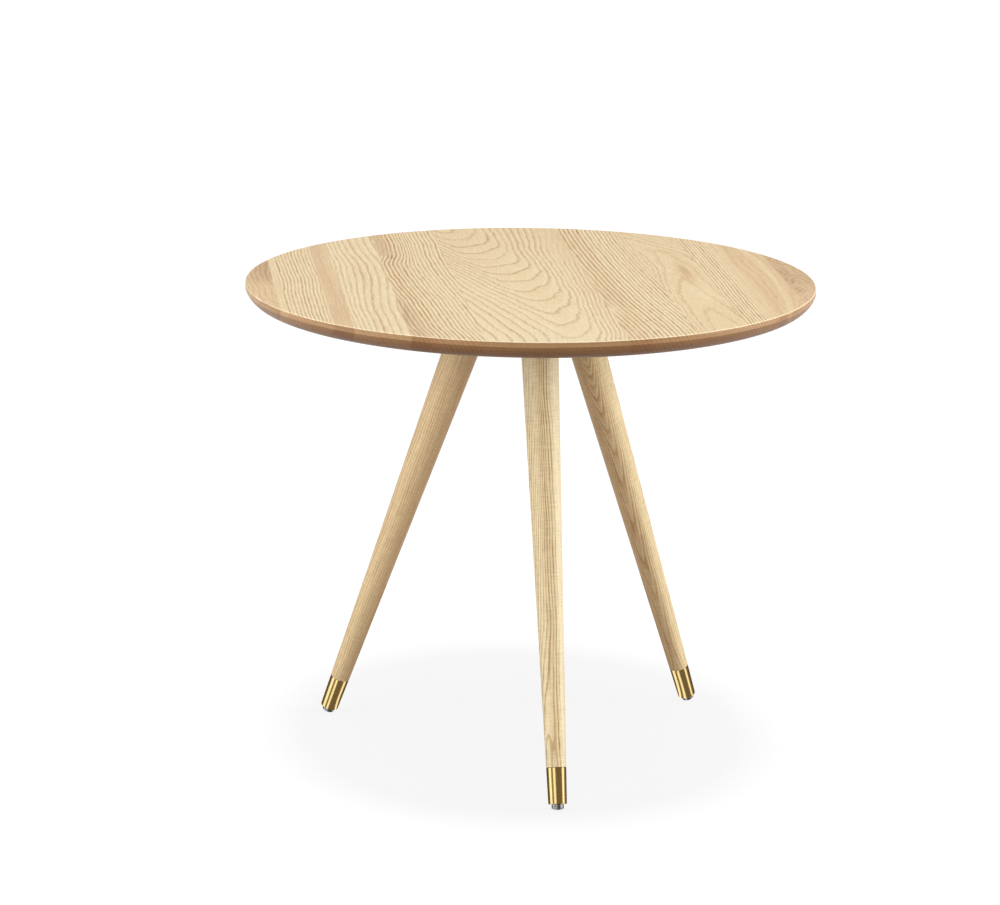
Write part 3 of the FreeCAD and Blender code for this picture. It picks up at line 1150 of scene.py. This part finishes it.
studio = Finish("studio", "worlds", "Background")
seen_white = ray(studio, "Camera").math("MAXIMUM", ray(studio, "Transmission"))
world_level = seen_white * (1 - fill_level) + fill_level
bpy.context.scene.world = studio.set(Color=(1, 1, 1, 1), Strength=world_level)
print("Floor and world are white to the camera; the fill light is", fill_level)

# %% [markdown]
# Four soft boxes light the table: a wide one overhead, one at each side, and one in front
# that metal doesn't mirror. The sides of the rim and of the legs are bright and the faces
# toward the camera are darker, which is how the picture shows them.

# %% Soft boxes
def soft_box(name, place, width, height, power):
    """A rectangular area light aimed at the middle of the table."""
    lamp = bpy.data.lights.new(name, "AREA")
    lamp.shape = "RECTANGLE"
    lamp.size = width
    lamp.size_y = height
    lamp.energy = power
    box = add(name, lamp)
    aim = Vector((0, 0, table_height / 2)) - Vector(place)
    turn = aim.to_track_quat("-Z", "Y").to_matrix().to_4x4()
    box.matrix_world = Matrix.Translation(place) @ turn
    box.visible_camera = False
    return box


soft_box("overhead_box", (0, 0.2, 2.6), 2.4, 2.4, 29)
soft_box("left_box", (-2.2, -0.5, 0.75), 1.2, 1.8, 32)
soft_box("right_box", (2.2, -0.5, 0.75), 1.2, 1.8, 40)
front_box = soft_box("front_box", (0, -3.2, 1.0), 2.0, 1.2, 32)
front_box.visible_glossy = False
print("Four soft boxes")

# %% [markdown]
# Polished metal needs something to mirror. Photographers stand a small tent of white and
# dark cards round it, and the bands of the tent become the bands of the metal. Here each
# foot has a round sleeve that only mirror rays can see. Its light depends on the direction
# from the foot: a smooth bump for each white card and a dark brown between them, darkest
# on the far side.

# %% Light tents
tent_radius = 0.034
tent_height = 0.14
tent_floor = 0.0006
tent_dark = colour(80, 62, 40)
tent_near = 0.06
tent_glow = 1.5
tent_cards = ((-86, -56, 1.0), (-32, -11, 0.9), (58, 79, 1.0))
tent_soft_edge = 5
tent_around = 120
toward_camera = math.degrees(math.atan2(camera_place.y, camera_place.x))


def tent_level(bearing):
    """Light of the tent at a bearing in degrees to the right of the camera: a little on the
    near side, and for each card a smooth step up at its start and down at its end."""
    level = tent_near * step(-np.abs(bearing), -115, -100)
    for start, end, strength in tent_cards:
        rise = step(bearing, start - tent_soft_edge, start + tent_soft_edge)
        fall = step(bearing, end - tent_soft_edge, end + tent_soft_edge)
        level = level + strength * (rise - fall)
    return level


def tent_finish():
    """Glows by the level stored at the tent's points, over a dark brown."""
    cloth = Finish("tent_cloth")
    level = cloth.node("Attribute", {}, "Fac", attribute_name="level")
    shade = cloth.mix(level, tent_dark, (1, 1, 1, 1))
    return cloth.show(cloth.node("Emission", {"Color": shade, "Strength": tent_glow}))


tent_cloth = tent_finish()
bearing = np.linspace(-180, 180, tent_around, endpoint=False)
heading = np.radians(toward_camera + bearing)
tent_faces = grid_faces(3, tent_around, closed_columns=True).tolist()
for leg, azimuth in leg_azimuths.items():
    rows = []
    for radius, height in ((0, tent_floor), (tent_radius, tent_floor), (tent_radius, tent_height)):
        away = leg_foot_spread - height * math.tan(splay)
        x = away * math.cos(azimuth) + radius * np.cos(heading)
        y = away * math.sin(azimuth) + radius * np.sin(heading)
        rows.append(np.column_stack([x, y, np.full(tent_around, height)]))
    mesh = bpy.data.meshes.new(f"{leg}_tent")
    mesh.from_pydata(np.concatenate(rows), [], tent_faces)
    layer = mesh.attributes.new("level", "FLOAT", "POINT")
    layer.data.foreach_set("value", np.tile(tent_level(bearing), len(rows)))
    mesh.materials.append(tent_cloth)
    tent = add(f"{leg}_tent", mesh)
    for kind in ("camera", "diffuse", "transmission", "volume_scatter", "shadow"):
        setattr(tent, f"visible_{kind}", False)
print("Tents of", tent_radius, "m round", len(leg_azimuths), "feet")

# %% [markdown]
# The picture is shown as it is computed, with no film look.

# %% View settings and the end
bpy.context.scene.view_settings.view_transform = "Standard"
